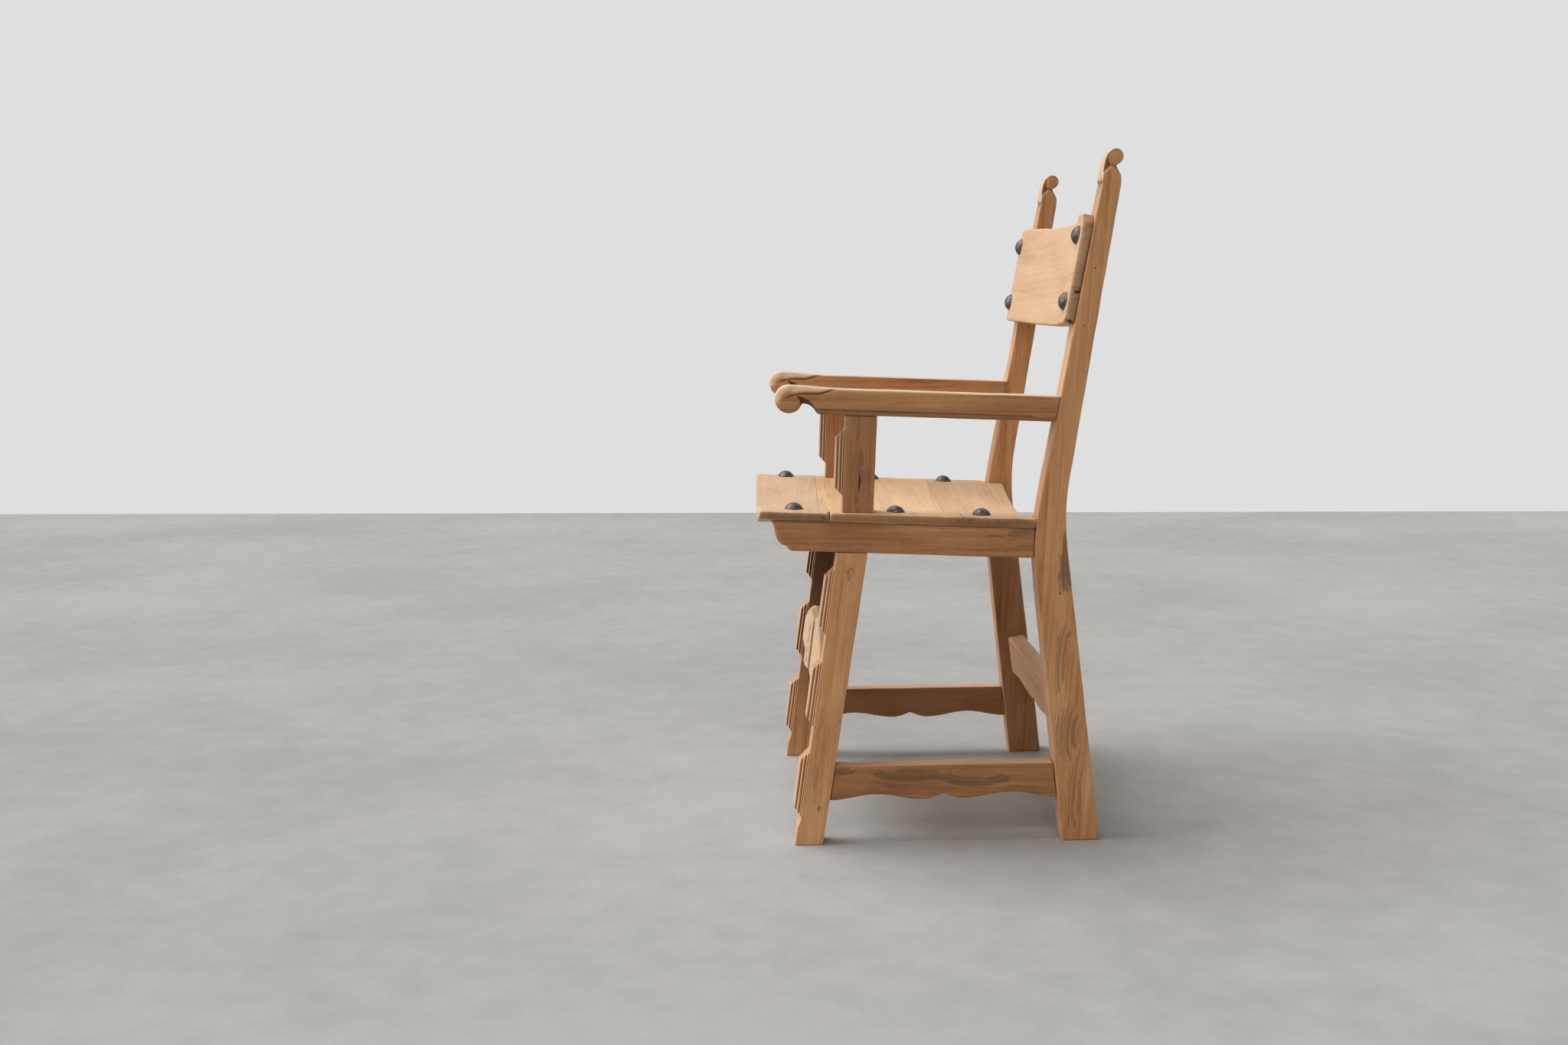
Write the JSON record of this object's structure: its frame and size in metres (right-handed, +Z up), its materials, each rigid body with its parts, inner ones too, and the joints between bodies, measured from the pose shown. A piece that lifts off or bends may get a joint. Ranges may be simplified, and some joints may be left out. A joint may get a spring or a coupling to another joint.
{
  "type": "carved wooden armchair",
  "caption": "Open wooden armchair with splayed panelled front legs, scrolled arms and finials, and a scooped plank seat and back held by iron dome nails.",
  "frame": {"origin": "on the floor under the middle of the chair's bounding box", "axes": "+Z up, -Y the way the chair faces, +X towards the sitter's left"},
  "size_m": [0.58, 0.5126, 0.9788],
  "materials": {
    "frame_wood": "stripped, waxed dull",
    "plank_wood": "stripped, worn smooth",
    "nail_iron": "dark, rubbed bright on top"
  },
  "bodies": {
    "root": {"rear_post_left": "frame_wood", "rear_post_right": "frame_wood", "front_leg_left": "frame_wood", "front_leg_right": "frame_wood", "side_rail_left": "frame_wood", "side_rail_right": "frame_wood", "arm_left": "frame_wood", "arm_right": "frame_wood", "arm_post_left": "frame_wood", "arm_post_right": "frame_wood", "side_stretcher_left": "frame_wood", "side_stretcher_right": "frame_wood", "front_stretcher": "frame_wood", "rear_stretcher": "frame_wood", "seat_plank_front": "plank_wood", "seat_plank_middle": "plank_wood", "seat_plank_rear": "plank_wood", "back_plank_lower": "plank_wood", "back_plank_upper": "plank_wood", "seat_nail_front_left": "nail_iron", "seat_nail_front_right": "nail_iron", "seat_nail_middle_left": "nail_iron", "seat_nail_middle_right": "nail_iron", "seat_nail_rear_left": "nail_iron", "seat_nail_rear_right": "nail_iron", "back_nail_lower_left": "nail_iron", "back_nail_lower_right": "nail_iron", "back_nail_upper_left": "nail_iron", "back_nail_upper_right": "nail_iron"}
  },
  "joints": []
}
